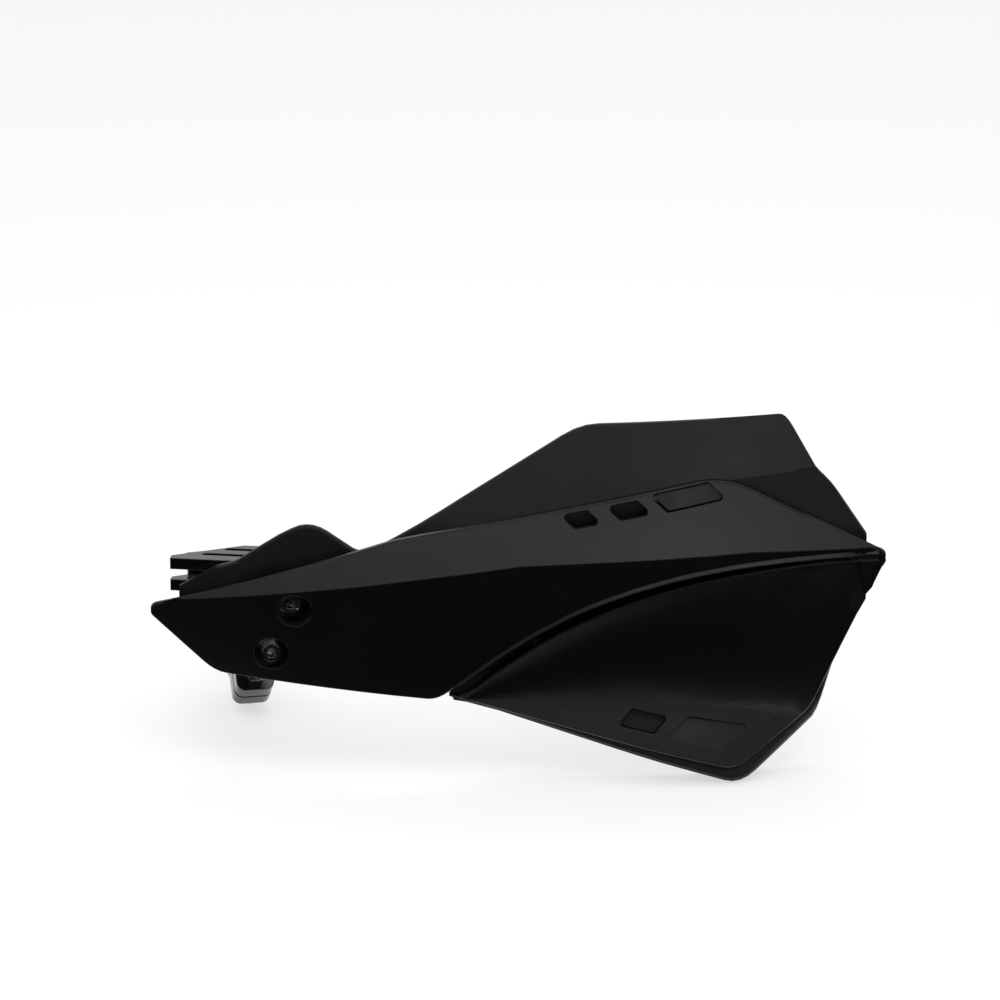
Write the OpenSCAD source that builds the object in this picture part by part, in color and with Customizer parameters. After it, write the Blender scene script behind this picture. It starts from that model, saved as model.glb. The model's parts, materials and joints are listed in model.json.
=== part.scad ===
// Open-ended motorcycle hand guard, left side of the bike
// Front face looks to -Y, outboard end to +X, up is +Z, rider's side +Y
// Origin on the handlebar's axis, in the middle of the bar clamp

/* [Front cover outline] */
// Centre of the rounded inboard tip, across
tip_in_x = -158.5; // [-168:0.5:-152]
// Centre of the rounded inboard tip, height
tip_in_z = 73; // [71:0.5:77]
// Centre of the rounded outboard tip, across
tip_out_x = 158.7; // [155:0.1:166]
// Centre of the rounded outboard tip, height
tip_out_z = 101.5; // [98:0.5:103]
// Radius of both tips
tip_r = 4; // [3:0.5:5]
// Knee of the top edge, across
top_knee_x = -52; // [-62:1:-42]
// Knee of the top edge, height
top_knee_z = 111.5; // [108:0.5:115]
// Peak of the top edge, across
top_peak_x = 92; // [84:1:100]
// Peak of the top edge, height
top_peak_z = 135.6; // [130:0.2:140]
// Lower knee of the blade, across
low_knee_x = -134; // [-140:1:-128]
// Lower corner of the blade, where the sweep begins, across
sweep_x = -34.5; // [-40:0.5:-31]
// Lower corner of the blade, height
sweep_z = 35.9; // [33.4:0.5:37.9]
// Lowest corner of the lower panel, across
toe_x = 97; // [90:1:102]
// Lowest corner of the lower panel, height
toe_z = 5; // [3:0.5:9]
// Outer corner of the lower panel, inboard of the outboard tip
heel_in = 27.7; // [25:0.1:31]
// Inner end of the lower panel, across
root_x = -30; // [-32:1:-27]
// Inner end of the lower panel, height
root_z = 37; // [35:0.5:38]

/* [Front cover section] */
// Wall of both shells
wall = 2.5; // [2:0.1:3]
// How far the inboard tip sweeps back from the front line
sweep_back_in = 26; // [20:1:32]
// How far the outboard tip sweeps back from the front line
sweep_back_out = 16; // [10:1:22]
// Height of the crease at its highest
crease_top_z = 106.8; // [105:0.2:108]
// Drop of the crease at the inboard tip
crease_drop = 29; // [26:0.2:31]
// Softness of the crease
crease_soft = 1.5; // [1.5:0.5:5]
// Radius of the rolled edge along the sweep
roll_r = 2.6; // [2:0.1:3.2]
// Radius of all other edges
edge_r = 0.9; // [0.5:0.1:1.2]
// Height of the air slot at its open end
slot_open = 8; // [6:0.5:9]
// Height of the air slot at its narrow end
slot_narrow = 2.2; // [1.6:0.2:3]
// Greatest hollow of the lower panel
scoop_depth = 5.5; // [3:0.5:5.5]
// Height of the crease across the lower panel
strip_z = 35.5; // [34:0.5:36]

/* [Rear shell] */
// Distance of the rear shell behind the front line
shell_offset = 20.5; // [20:0.5:24]
// Gap between the two shells at the lower lip
shell_gap = 1; // [0.8:0.1:1.5]
// Depth of the lower lip, front to back
lip_depth = 18; // [10:1:24]
// Radius under the lower lip
lip_r = 5; // [3:0.5:6]
// Inner corner of the wind deflector's top, across
defl_in_x = 28; // [20:1:34]
// Height of the wind deflector at that corner
defl_in_z = 153.6; // [148:0.2:158]
// Outer corner of the wind deflector's top, across
defl_out_x = 119; // [112:1:124]
// Height of the wind deflector at its outer corner
defl_out_z = 157.6; // [154:0.2:162]
// Peak of the winglet, across
ear_x = -91.5; // [-97:0.5:-87]
// Peak of the winglet, height before rounding
ear_z = 113.6; // [110:0.2:118]

/* [Openings] */
// Slant of the vent holes, across for each unit of height
vent_slant = 1.3; // [1:0.1:1.6]
// Width of the first vent
vent_a_w = 12; // [9:0.5:14]
// Width of the second vent
vent_b_w = 14; // [10:0.5:16]
// Height of both upper vents
vent_h = 5.2; // [4.5:0.1:6]
// Width of the bare badge pad
badge_w = 26.5; // [18:0.5:27]
// Height of the bare badge pad
badge_h = 6.4; // [5:0.2:7]
// Width of the lower vent
low_vent_w = 16.5; // [12:0.5:18]
// Depth of the trapezoid pocket
pocket_depth = 1.3; // [0.8:0.1:1.4]

/* [Cover bolts] */
// Thread diameter of the cover bolts
cover_bolt_d = 5; // [4:1:6]
// Diameter of the sunk bolt wells
well_d = 15.2; // [14:0.2:17]
// Sideways distance of the bolts from their middle
bolt_half_x = 4.5; // [3:0.5:6]
// Distance up or down of the bolts from their middle
bolt_half_z = 11; // [10.5:0.5:13]
// Thickness of the stack that each bolt pinches, cover floor and shell pad
pinch = 10; // [9:0.5:11]

/* [Bar clamp] */
// Diameter of the handlebar
bar_d = 22.2; // [22:0.1:25.4]
// Wall of the rubber bar sleeve
sleeve_t = 3.2; // [1.5:0.1:4]
// Wall of the clamp ring
ring_t = 5; // [4:0.5:7]
// Width of the clamp along the bar
clamp_w = 17.4; // [15:0.2:22]
// Gap between the clamp halves
clamp_gap = 1.5; // [1:0.1:3]
// Thickness of each clamp ear
ear_t = 8; // [6:0.5:9]
// Thread diameter of the clamp bolts
clamp_bolt_d = 6; // [5:1:6]
// Distance of the bar behind the bracket's face
bar_back = 89.8; // [80:0.2:100]
// Distance of the bar below the middle of the cover bolts
bar_drop = 38.9; // [30:0.1:42]
// Lean of the split between the clamp halves
split_lean = 40; // [30:1:50]

/* [Bracket] */
// Sweep of the handlebar, seen from above
bar_sweep = 12; // [8:1:15]
// Height of the bracket's wing
wing_h = 15.2; // [13:0.2:18]
// Length of the wing towards the inboard side
wing_l = 48; // [40:1:50]
// Depth of the wing, front to back
wing_d = 22; // [18:1:26]
// Width of the grooves on top of the wing
rib_gap = 3.2; // [2:0.2:4]
// Web left between the pockets of the arm
web_t = 5; // [4:0.5:7]

/* [Hidden] */
$fn = 48;

plastic = "#1b1b1d";
satin = "#2a2a2c";
steel = "#3a3a3c";
zinc = "#b9bcc0";
brass = "#b08d4a";
rubber = "#242424";

// Straight line between two values
function mix(a, b, t) = a + (b - a) * t;
// Value kept between two limits
function hold(v, low, high) = min(max(v, low), high);
// Smooth change from 0 to 1 between a and b
function ease(a, b, x) = let (t = hold((x - a) / (b - a), 0, 1)) t * t * (3 - 2 * t);
// Bend of a straight line at k by dm, rounded over b each side
function knee(x, k, dm, b) =
    x < k - b ? 0 : x > k + b ? dm * (x - k) : dm * (x - k + b) * (x - k + b) / (4 * b);
// Evenly spaced values from a up to, but not at, b
function span(a, b, n) = [for (i = [0:n - 1]) mix(a, b, i / n)];
// Height of a line of slope s that touches a tip circle, above (side 1) or below (side -1)
function off_tip(x, cx, cz, s, side) = cz + side * tip_r * sqrt(1 + s * s) + s * (x - cx);
// Half height of a tip circle
function tip_half(x, cx) = sqrt(max(tip_r * tip_r - (x - cx) * (x - cx), 0));

// Guide lines of the front cover

top_s1 = (top_knee_z - tip_in_z - tip_r) / (top_knee_x - tip_in_x);
top_s2 = (top_peak_z - top_knee_z) / (top_peak_x - top_knee_x);
top_s3 = (tip_out_z + tip_r - top_peak_z) / (tip_out_x - top_peak_x);
top_knee_soft = 10;
top_peak_soft = 14;
low_slope = -0.092;
low_knee_soft = 5;
sweep_soft = 5;
low_knee_z = sweep_z + low_slope * (low_knee_x - sweep_x);
low_s1 = (low_knee_z - tip_in_z + tip_r * 1.4) / (low_knee_x - tip_in_x);

function top_line(x) = x < top_peak_x - top_peak_soft
    ? off_tip(x, tip_in_x, tip_in_z, top_s1, 1) + knee(x, top_knee_x, top_s2 - top_s1, top_knee_soft)
    : mix(
        off_tip(x, tip_in_x, tip_in_z, top_s1, 1) + (top_s2 - top_s1) * (x - top_knee_x)
            + knee(x, top_peak_x, top_s3 - top_s2, top_peak_soft),
        off_tip(x, tip_out_x, tip_out_z, top_s3, 1),
        ease(top_peak_x, tip_out_x, x));
function top_z(x) =
    x < tip_in_x - tip_r * top_s1 / sqrt(1 + top_s1 * top_s1) ? tip_in_z + tip_half(x, tip_in_x)
    : x > tip_out_x - tip_r * top_s3 / sqrt(1 + top_s3 * top_s3) ? tip_out_z + tip_half(x, tip_out_x)
    : top_line(x);

// Sweep along the blade's lower edge, a curve with four control points
sweep_ctrl = [[sweep_x, sweep_z], [2.2, 66.1], [47.2, 107.9], [tip_out_x, tip_out_z + 1]];
function sweep_at(t, i) = let (s = 1 - t)
    s * s * s * sweep_ctrl[0][i] + 3 * t * s * s * sweep_ctrl[1][i]
    + 3 * t * t * s * sweep_ctrl[2][i] + t * t * t * sweep_ctrl[3][i];
function sweep_t(x, low = 0, high = 1, n = 18) = let (t = (low + high) / 2)
    n == 0 ? t : sweep_at(t, 0) < x ? sweep_t(x, t, high, n - 1) : sweep_t(x, low, t, n - 1);
sweep_slope = (sweep_ctrl[1][1] - sweep_z) / (sweep_ctrl[1][0] - sweep_x);

function low_line(x) = sweep_z + low_slope * (x - sweep_x) + knee(x, sweep_x, sweep_slope - low_slope, sweep_soft);
function low_left(x) = off_tip(x, tip_in_x, tip_in_z, low_s1, -1)
    + knee(x, low_knee_x, low_slope - low_s1, low_knee_soft);
function low_z(x) =
    x < tip_in_x + tip_r * low_s1 / sqrt(1 + low_s1 * low_s1) ? tip_in_z - tip_half(x, tip_in_x)
    : x < low_knee_x + low_knee_soft ? low_left(x)
    : x < sweep_x + sweep_soft ? mix(low_left(x), low_line(x), ease(low_knee_x + low_knee_soft, sweep_x - sweep_soft, x))
    : x < tip_out_x ? sweep_at(sweep_t(x), 1)
    : sweep_ctrl[3][1];

// Lower panel outline
toe_s1 = (toe_z - root_z) / (toe_x - root_x);
heel_x = tip_out_x - heel_in;
heel_s = 2.3;
heel_bow = 1.5;
heel_line_z = off_tip(heel_x, tip_out_x, tip_out_z, heel_s, -1);
toe_s2 = (heel_line_z - toe_z) / (heel_x - toe_x);
toe_soft = 6;
heel_soft = 4;
function panel_low(x) =
    x > tip_out_x + tip_r * heel_s / sqrt(1 + heel_s * heel_s) ? tip_out_z - tip_half(x, tip_out_x)
    : x > heel_x + heel_soft ? off_tip(x, tip_out_x, tip_out_z, heel_s, -1)
        - heel_bow * 4 * (x - heel_x - heel_soft) * max(tip_out_x - x, 0) / pow(tip_out_x - heel_x - heel_soft, 2)
    : root_z + toe_s1 * (x - root_x) + knee(x, toe_x, toe_s2 - toe_s1, toe_soft)
        + knee(x, heel_x, heel_s - toe_s2, heel_soft);
// The two sheets join outboard of this line
join_in = 9.7;
join_x = tip_out_x - join_in;
join_w = 5;
function slot_h(x) = x < join_x
    ? mix(slot_open, slot_narrow, (x - sweep_x) / (join_x - sweep_x))
    : mix(slot_narrow, -slot_narrow, min((x - join_x) / join_w, 1));
thin_tip = 1.3;
function blade_low(x) = x < join_x ? low_z(x)
    : mix(low_z(x), panel_low(x), ease(join_x, tip_out_x - 3, x));
function panel_top(x) = max(blade_low(x) - slot_h(x), panel_low(x) + thin_tip);
strip_bend_x = 62;
strip_fall = -0.14;
function strip_top(x) = strip_z + knee(x, strip_bend_x, strip_fall, toe_soft);

// Depth of the surfaces
front_in_x = -20;
front_out_x = 40;
function line_y(x) =
    x < front_in_x ? sweep_back_in * pow((front_in_x - x) / (front_in_x - tip_in_x), 2)
    : x > front_out_x ? sweep_back_out * pow((x - front_out_x) / (tip_out_x - front_out_x), 2)
    : 0;
crease_x = 95;
crease_power = 2.6;
function crease_z(x) = crease_top_z
    - crease_drop * pow(abs(x - crease_x) / (crease_x - tip_in_x), crease_power);
rail_slope = 0.84;
facet_slope = -0.2;
slope_mid = (rail_slope + facet_slope) / 2;
slope_half = (rail_slope - facet_slope) / 2;
function face_y(x, z) = let (u = z - crease_z(x))
    line_y(x) + slope_mid * u + slope_half * (sqrt(u * u + crease_soft * crease_soft) - crease_soft);
function face_wall(x, z) = let (
        u = z - crease_z(x),
        s = slope_mid + slope_half * u / sqrt(u * u + crease_soft * crease_soft))
    wall * sqrt(1 + s * s);

lip_step = 3;
lip_step_end = 1;
function step_at(x) = mix(lip_step, lip_step_end, ease(join_x - 8, join_x + 4, x));
strip_back = 15;
strip_slope = 0.5;
scoop_share = 0.11;
function scoop_y(x, z) = let (
        rise = max(panel_top(x) - strip_top(x), 1),
        w = (panel_top(x) - z) / rise,
        lip = face_y(x, blade_low(x)) + step_at(x))
    mix(lip, line_y(x) + strip_back, w) + min(scoop_depth, scoop_share * rise) * 4 * w * (1 - w);
function panel_y(x, z) = z >= strip_top(x) && panel_top(x) > strip_top(x) ? scoop_y(x, z)
    : line_y(x) + strip_back - strip_slope * (strip_top(x) - z);
panel_wall = wall * sqrt(1 + strip_slope * strip_slope);

// Rear shell surface, behind both sheets
defl_fold_z = 116.4;
defl_fold_slope = 0.16;
function fold_z(x) = defl_fold_z + defl_fold_slope * x;
lean_low = 0.15;
lean_high = 0.6;
tuck_in = 8;
// Slight hollow of the shell from top to bottom
crown = 1.2;
crown_z = 70;
crown_half = 70;
// The outlines below are set out from the guard's own middle line and its lowest lip,
// and placed() moves each finished piece so that the handlebar's axis is the origin.

// Frame of the bracket: its face against the rear shell, halfway between the cover bolts
mount_x = -107.5;
mount_y = 34;
mount_z = 67.5;
plate_half = 12;
plate_fit = 0.8;
step_x = mount_x - plate_half - 4;
step_w = 10;
// The shell steps forward where the bracket's plate lies on it
function plate_y(x) = mount_y + (x - mount_x) * tan(bar_sweep) - wall * 1.12 - plate_fit;
function rear_y(x, z) = let (
        lean = mix(lean_low, lean_high, ease(-62, -20, x)),
        bowl = line_y(x) + shell_offset - tuck_in * ease(-125, tip_in_x, x),
        flat = bowl - max(bowl - plate_y(x), 0) * ease(step_x - step_w, step_x, x),
        strip = line_y(x) + strip_back - strip_slope * (strip_top(x) - z) + panel_wall + shell_gap)
    min(flat, strip)
    + crown * pow((z - crown_z) / crown_half, 2)
    + lean_low * max(min(z, fold_z(x)) - crease_z(x), 0)
    + lean * max(z - max(fold_z(x), crease_z(x)), 0);

// Rear shell outline
rear_in_x = -150;
rear_out_in = 3.7;
rear_out_x = tip_out_x - rear_out_in;
ear_s1 = 0.56;
ear_s2 = -0.6;
defl_s1 = 0.562;
defl_s2 = (defl_out_z - defl_in_z) / (defl_out_x - defl_in_x);
defl_s3 = -1.62;
defl_s4 = -1;
defl_kink_x = defl_out_x + 13;
defl_s5 = -1.5;
defl_tail_x = defl_out_x + 20.5;
valley_x = (ear_z - ear_s2 * ear_x - defl_in_z + defl_s1 * defl_in_x) / (defl_s1 - ear_s2);
function rear_top(x) = ear_z + ear_s1 * (x - ear_x)
    + knee(x, ear_x, ear_s2 - ear_s1, 8)
    + knee(x, valley_x, defl_s1 - ear_s2, 4)
    + knee(x, defl_in_x, defl_s2 - defl_s1, 8)
    + knee(x, defl_out_x, defl_s3 - defl_s2, 3)
    + knee(x, defl_kink_x, defl_s4 - defl_s3, 2)
    + knee(x, defl_tail_x, defl_s5 - defl_s4, 3);
lip_drop = 9.3;
rear_heel_x = heel_x + 2.9;
rear_heel_z = heel_line_z - 5.4;
rear_toe_x = toe_x + 2.5;
rear_toe_z = toe_z - lip_drop;
rear_root_x = -28;
rear_root_z = panel_low(rear_root_x) - 3;
rear_s1 = (rear_toe_z - rear_root_z) / (rear_toe_x - rear_root_x);
rear_s2 = (rear_heel_z - rear_toe_z) / (rear_heel_x - rear_toe_x);
rear_s3 = (tip_out_z - 8 - rear_heel_z) / (rear_out_x - rear_heel_x);
hide = 5;
hide_x = rear_root_x - hide;
function rear_hidden(x) = low_left(x) + mix(hide, 2 * hide, ease(rear_in_x, hide_x, x));
function rear_low(x) = x < hide_x ? rear_hidden(x)
    : x < rear_root_x ? mix(rear_hidden(hide_x), rear_root_z, (x - hide_x) / hide)
    : rear_root_z + rear_s1 * (x - rear_root_x) + knee(x, rear_toe_x, rear_s2 - rear_s1, 7)
        + knee(x, rear_heel_x, rear_s3 - rear_s2, 2);

// Closed skin through rings of points, every ring with the same count
module loft(rings) {
    count = len(rings[0]);
    last = len(rings) - 1;
    skin = [for (i = [0:last - 1]) for (j = [0:count - 1])
        let (a = i * count + j, b = i * count + (j + 1) % count)
        each [[a, a + count, b + count], [a, b + count, b]]];
    ends = [[for (j = [0:count - 1]) j], [for (j = [count - 1:-1:0]) last * count + j]];
    polyhedron(points = [for (ring = rings) each ring], faces = concat(skin, ends));
}

// Outline with rounded corners, worked out from its corner points
function rounded(pts, r, steps = 4) = [for (i = [0:len(pts) - 1])
    let (
        p = pts[i],
        a = pts[(i + len(pts) - 1) % len(pts)] - p,
        b = pts[(i + 1) % len(pts)] - p,
        ua = a / norm(a),
        ub = b / norm(b),
        half = acos(ua * ub) / 2,
        start = p + ua * r / tan(half),
        finish = p + ub * r / tan(half),
        centre = p + (ua + ub) / norm(ua + ub) * r / sin(half))
    for (k = [0:steps])
        let (m = mix(start, finish, k / steps) - centre)
        centre + m / norm(m) * r];
// Slanted four-sided outline, from its lower left corner
function slanted(x, z, w, h, slant, rise) =
    [[x, z], [x + w, z + rise * w], [x + w - slant * h, z + rise * w + h], [x - slant * h, z + h]];
// Cut or block along Y from an outline drawn in X and Z
module along_y(pts, y0, y1) {
    translate([0, y1, 0])
        rotate([90, 0, 0])
            linear_extrude(y1 - y0)
                polygon(pts);
}
// Round rod along Y
module rod_y(x, z, y0, y1, d) {
    translate([x, y0, z])
        rotate([-90, 0, 0])
            cylinder(d = d, h = y1 - y0);
}

// Front cover: blade sheet
blade_xs = concat(
    [for (d = [0.3, 1, 2.2, 4.2]) tip_in_x - tip_r + d],
    span(tip_in_x + 4, low_knee_x - low_knee_soft, 2),
    span(low_knee_x - low_knee_soft, low_knee_x + low_knee_soft, 4),
    span(low_knee_x + low_knee_soft, sweep_x - sweep_soft, 6),
    span(sweep_x - sweep_soft, sweep_x + sweep_soft, 4),
    span(sweep_x + sweep_soft, top_peak_x - top_peak_soft, 16),
    span(top_peak_x - top_peak_soft, top_peak_x + top_peak_soft, 8),
    span(top_peak_x + top_peak_soft, join_x, 5),
    span(join_x, tip_out_x - 2.7, 4),
    [for (d = [6, 3.6, 2, 0.9, 0.3]) tip_out_x + tip_r - d]);
function blade_ring(x) = let (
        zt = top_z(x),
        zl = blade_low(x),
        h = zt - zl,
        re = min(edge_r, 0.15 * h),
        rr = min(mix(edge_r, roll_r, ease(sweep_x - sweep_soft, sweep_x + sweep_soft, x)), 0.25 * h),
        wz = min(wall, 0.3 * h),
        zk = hold(crease_z(x), zl + 0.4 * h, zt - 0.3 * h),
        d = min(2 * crease_soft, 0.3 * (zt - zk), 0.3 * (zk - zl)),
        rows = concat(
            span(zt - re, zk + d, 2),
            [for (k = [1, 0.5, 0, -0.5, -1]) zk + k * d],
            [for (k = [0.33, 0.66, 1]) mix(zk - d, zl + rr, k)]),
        reach = rear_y(x, zl) - shell_gap,
        shallow = face_y(x, zl) + wall + 1.2,
        back = mix(shallow, reach,
            ease(sweep_x - 6, sweep_x + 20, x) * (1 - ease(join_x - 10, join_x + 8, x))),
        y0 = face_y(x, zl + rr))
    concat(
        [[x, face_y(x, zt) + re, zt]],
        [for (z = rows) [x, face_y(x, z), z]],
        [for (a = [30, 60, 90]) [x, y0 + rr * (1 - cos(a)), zl + rr - rr * sin(a)]],
        [[x, back, zl], [x, back, zl + wz]],
        [for (i = [len(rows) - 1:-1:0])
            let (z = zl + wz + (rows[i] - zl - rr) * (h - wz) / (h - re - rr))
            [x, face_y(x, z) + face_wall(x, z), z]]);

// Front cover: lower panel sheet
panel_xs = concat(
    [root_x, root_x + 3],
    span(root_x + 6, toe_x - toe_soft, 17),
    span(toe_x - toe_soft, toe_x + toe_soft, 4),
    span(toe_x + toe_soft, heel_x - heel_soft, 3),
    span(heel_x - heel_soft, heel_x + heel_soft, 3),
    span(heel_x + heel_soft, join_x, 3),
    span(join_x, tip_out_x - 2.7, 4));
function panel_ring(x) = let (
        zt = panel_top(x),
        zb = panel_low(x),
        h = zt - zb,
        re = min(edge_r, 0.1 * h),
        wz = min(wall, 0.35 * h),
        zk = hold(strip_top(x), zb + 0.2 * h, zt - 0.4 * h),
        rows = concat(
            [for (k = [0, 0.08, 0.2, 0.36, 0.52, 0.68, 0.84]) mix(zt - re, zk, k)],
            [for (k = [0, 0.5, 1]) mix(zk, zb + re, k)]),
        reach = rear_y(x, zt) - shell_gap,
        shallow = panel_y(x, zt) + panel_wall + 0.3,
        back = mix(shallow, reach, ease(root_x + 8, root_x + 26, x) * (1 - ease(join_x - 10, join_x + 8, x))))
    concat(
        [[x, back, zt], [x, panel_y(x, zt) + re, zt]],
        [for (z = rows) [x, panel_y(x, z), z]],
        [[x, panel_y(x, zb + re) + re, zb]],
        [for (i = [len(rows) - 1:-1:0])
            let (z = zb + (rows[i] - zb - re) * (h - wz) / (h - 2 * re))
            [x, panel_y(x, z) + panel_wall, z]],
        [[x, back, zt - wz]]);

// Vents, badge seat and pocket, all moulded along Y
rail_rise = 0.165;
vent_a = slanted(25.5, 116.8, vent_a_w, vent_h, vent_slant, rail_rise);
vent_b = slanted(45.5, 120, vent_b_w, vent_h, vent_slant, rail_rise);
badge_outline = slanted(66, 122.9, badge_w, badge_h, vent_slant, rail_rise);
low_vent = slanted(toe_x - 52.5, toe_z + 20, low_vent_w, 6.8, -0.95, -0.22);
pocket_outline = [for (p = [[-32.5, 13.9], [-8, 10], [7.8, 17.8], [-20.6, 22.9]])
    [toe_x, toe_z] + p];
corner_r = 1.4;
through = [-10, 60];

module blade_sheet() {
    loft([for (x = blade_xs) blade_ring(x)]);
}
module panel_sheet() {
    loft([for (x = panel_xs) panel_ring(x)]);
}
// Slab that follows the rail between two depths under its face
badge_xs = [54, 62, 70, 78, 86, 94];
module rail_slab(d0, d1) {
    loft([for (x = badge_xs) [
        [x, face_y(x, 136) + d0, 136],
        [x, face_y(x, 118) + d0, 118],
        [x, face_y(x, 118) + d1, 118],
        [x, face_y(x, 136) + d1, 136]]]);
}
badge_seat = 1.4;
badge_fit = 0.3;

// Wedge that hollows the pocket, deepest at its upper edge
module pocket_wedge() {
    top = toe_z + 25;
    low = toe_z + 9.5;
    loft([for (d = [-36, -21, -9, 12]) let (x = toe_x + d) [
        [x, panel_y(x, top) - 5, top],
        [x, panel_y(x, low) - 5, low],
        [x, panel_y(x, low), low],
        [x, panel_y(x, top) + pocket_depth * 1.2, top]]]);
}

clamp_x = 2;
bar_point = [
    mount_x + clamp_x * cos(bar_sweep) - bar_back * sin(bar_sweep),
    mount_y + clamp_x * sin(bar_sweep) + bar_back * cos(bar_sweep),
    mount_z - bar_drop];
module placed() {
    translate(-bar_point)
        children();
}
module at_bracket() {
    translate([mount_x, mount_y, mount_z])
        rotate([0, 0, bar_sweep])
            children();
}
// Runs its children at each cover bolt, upper and lower
module at_bolt(side) {
    at_bracket()
        translate([side * bolt_half_x, 0, side * bolt_half_z])
            children();
}
well_floor = 3;
pad_y = well_floor - pinch;
well_wall = 2;
bolt_clear = 0.5;
well_reach = 30;
module bolt_well(side) {
    at_bolt(side)
        rod_y(0, 0, -well_reach, pad_y, well_d + 2 * well_wall);
}
module bolt_well_bore(side) {
    at_bolt(side) {
        rod_y(0, 0, -well_reach - 5, -pinch, well_d);
        rod_y(0, 0, -pinch - 1, 1, cover_bolt_d + bolt_clear);
    }
}

// Self-tapping screws that hold the shells together, driven from behind
shell_posts = [[-62, 76], [-8, 88], [48, 103], [tip_out_x - 40.7, 110]];
strip_posts = [[22, 29.5], [tip_out_x - 46.7, 22]];
post_d = 8;
screw_d = 3.5;
screw_head_d = 7;
screw_head_h = 2.2;
screw_l = 14;
pad_d = 14;
post_fit = 0.3;
function seat_y(p) = rear_y(p[0], p[1]) + 0.6;
function post_front(p) = max(face_y(p[0], p[1] + post_d / 2), face_y(p[0], p[1] - post_d / 2)) + 0.8;
// Back of the flat pad that carries each screw head
function pad_back(p) = rear_y(p[0], p[1]) + wall + 1.2;
strip_reach = 9.5;
strip_pad_d = 12;
function strip_pad_y(p) = rear_y(p[0], p[1] + strip_pad_d / 2) + 0.5;
function strip_back_y(p) = panel_y(p[0], p[1]) + strip_reach;

// Everything in front of the cover's face, to trim posts and wells
module behind_face(x0, x1, z0, z1) {
    loft([for (x = span(x0, x1 + 0.01, 6)) [
        [x, face_y(x, z1) + 0.6, z1],
        [x, face_y(x, mix(z0, z1, 0.66)) + 0.6, mix(z0, z1, 0.66)],
        [x, face_y(x, mix(z0, z1, 0.33)) + 0.6, mix(z0, z1, 0.33)],
        [x, face_y(x, z0) + 0.6, z0],
        [x, 60, z0],
        [x, 60, z1]]]);
}

// Short bridges across the air slot, set back against the rear shell
bridge_xs = [8, 58, 104];
bridge_w = 2.4;
bridge_d = 4;
module slot_bridge(x) {
    z0 = panel_top(x) - 1.2;
    z1 = blade_low(x) + 1.2;
    y1 = rear_y(x, (z0 + z1) / 2) - shell_gap - 0.5;
    translate([x - bridge_w / 2, y1 - bridge_d, z0])
        cube([bridge_w, bridge_d, z1 - z0]);
}

module front_cover() {
    color(plastic) placed()
        difference() {
            union() {
                blade_sheet();
                panel_sheet();
                for (x = bridge_xs)
                    slot_bridge(x);
                intersection() {
                    union() {
                        bolt_well(1);
                        bolt_well(-1);
                    }
                    behind_face(mount_x - 22.5, mount_x + 37.5, mount_z - 27.5, mount_z + 28.5);
                }
                for (p = shell_posts)
                    rod_y(p[0], p[1], post_front(p), seat_y(p) - post_fit, post_d);
                for (p = strip_posts)
                    rod_y(p[0], p[1], panel_y(p[0], p[1]) + 1.6, strip_back_y(p), post_d);
            }
            bolt_well_bore(1);
            bolt_well_bore(-1);
            for (p = shell_posts)
                rod_y(p[0], p[1], post_front(p) + 2, seat_y(p) + 1, screw_d);
            for (p = strip_posts)
                rod_y(p[0], p[1], strip_back_y(p) - 6, strip_back_y(p) + 1, screw_d);
            for (hole = [vent_a, vent_b, low_vent])
                along_y(rounded(hole, corner_r), through[0], through[1]);
            intersection() {
                rail_slab(-3, badge_seat);
                along_y(rounded(badge_outline, corner_r), through[0], through[1]);
            }
            intersection() {
                pocket_wedge();
                along_y(rounded(pocket_outline, corner_r), through[0], through[1]);
            }
        }
}

// Bare textured pad let into the top rail
module badge_pad() {
    inset = [for (p = rounded(slanted(66 + badge_fit, 122.9 + badge_fit, badge_w - 2 * badge_fit,
        badge_h - 2 * badge_fit, vent_slant, rail_rise), corner_r)) p];
    color(satin) placed()
        intersection() {
            rail_slab(0.2, badge_seat);
            along_y(inset, through[0], through[1]);
        }
}

// Rear shell
rear_xs = concat(
    span(rear_in_x, step_x - step_w, 2),
    span(step_x - step_w, step_x, 2),
    span(step_x, ear_x - 8, 4),
    span(ear_x - 8, ear_x + 8, 5),
    span(ear_x + 8, valley_x - 4, 1),
    span(valley_x - 4, valley_x + 4, 2),
    span(valley_x + 4, rear_root_x - hide, 3),
    [rear_root_x - hide, rear_root_x],
    span(rear_root_x + 6, defl_in_x - 8, 3),
    span(defl_in_x - 8, defl_in_x + 8, 3),
    span(defl_in_x + 8, rear_toe_x - 7, 6),
    span(rear_toe_x - 7, rear_toe_x + 7, 4),
    span(rear_toe_x + 7, defl_out_x - 3, 1),
    span(defl_out_x - 3, defl_out_x + 3, 4),
    span(defl_out_x + 3, rear_heel_x - 2, 1),
    span(rear_heel_x - 2, rear_heel_x + 2, 2),
    span(rear_heel_x + 2, rear_out_x, 6),
    [rear_out_x]);
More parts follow.
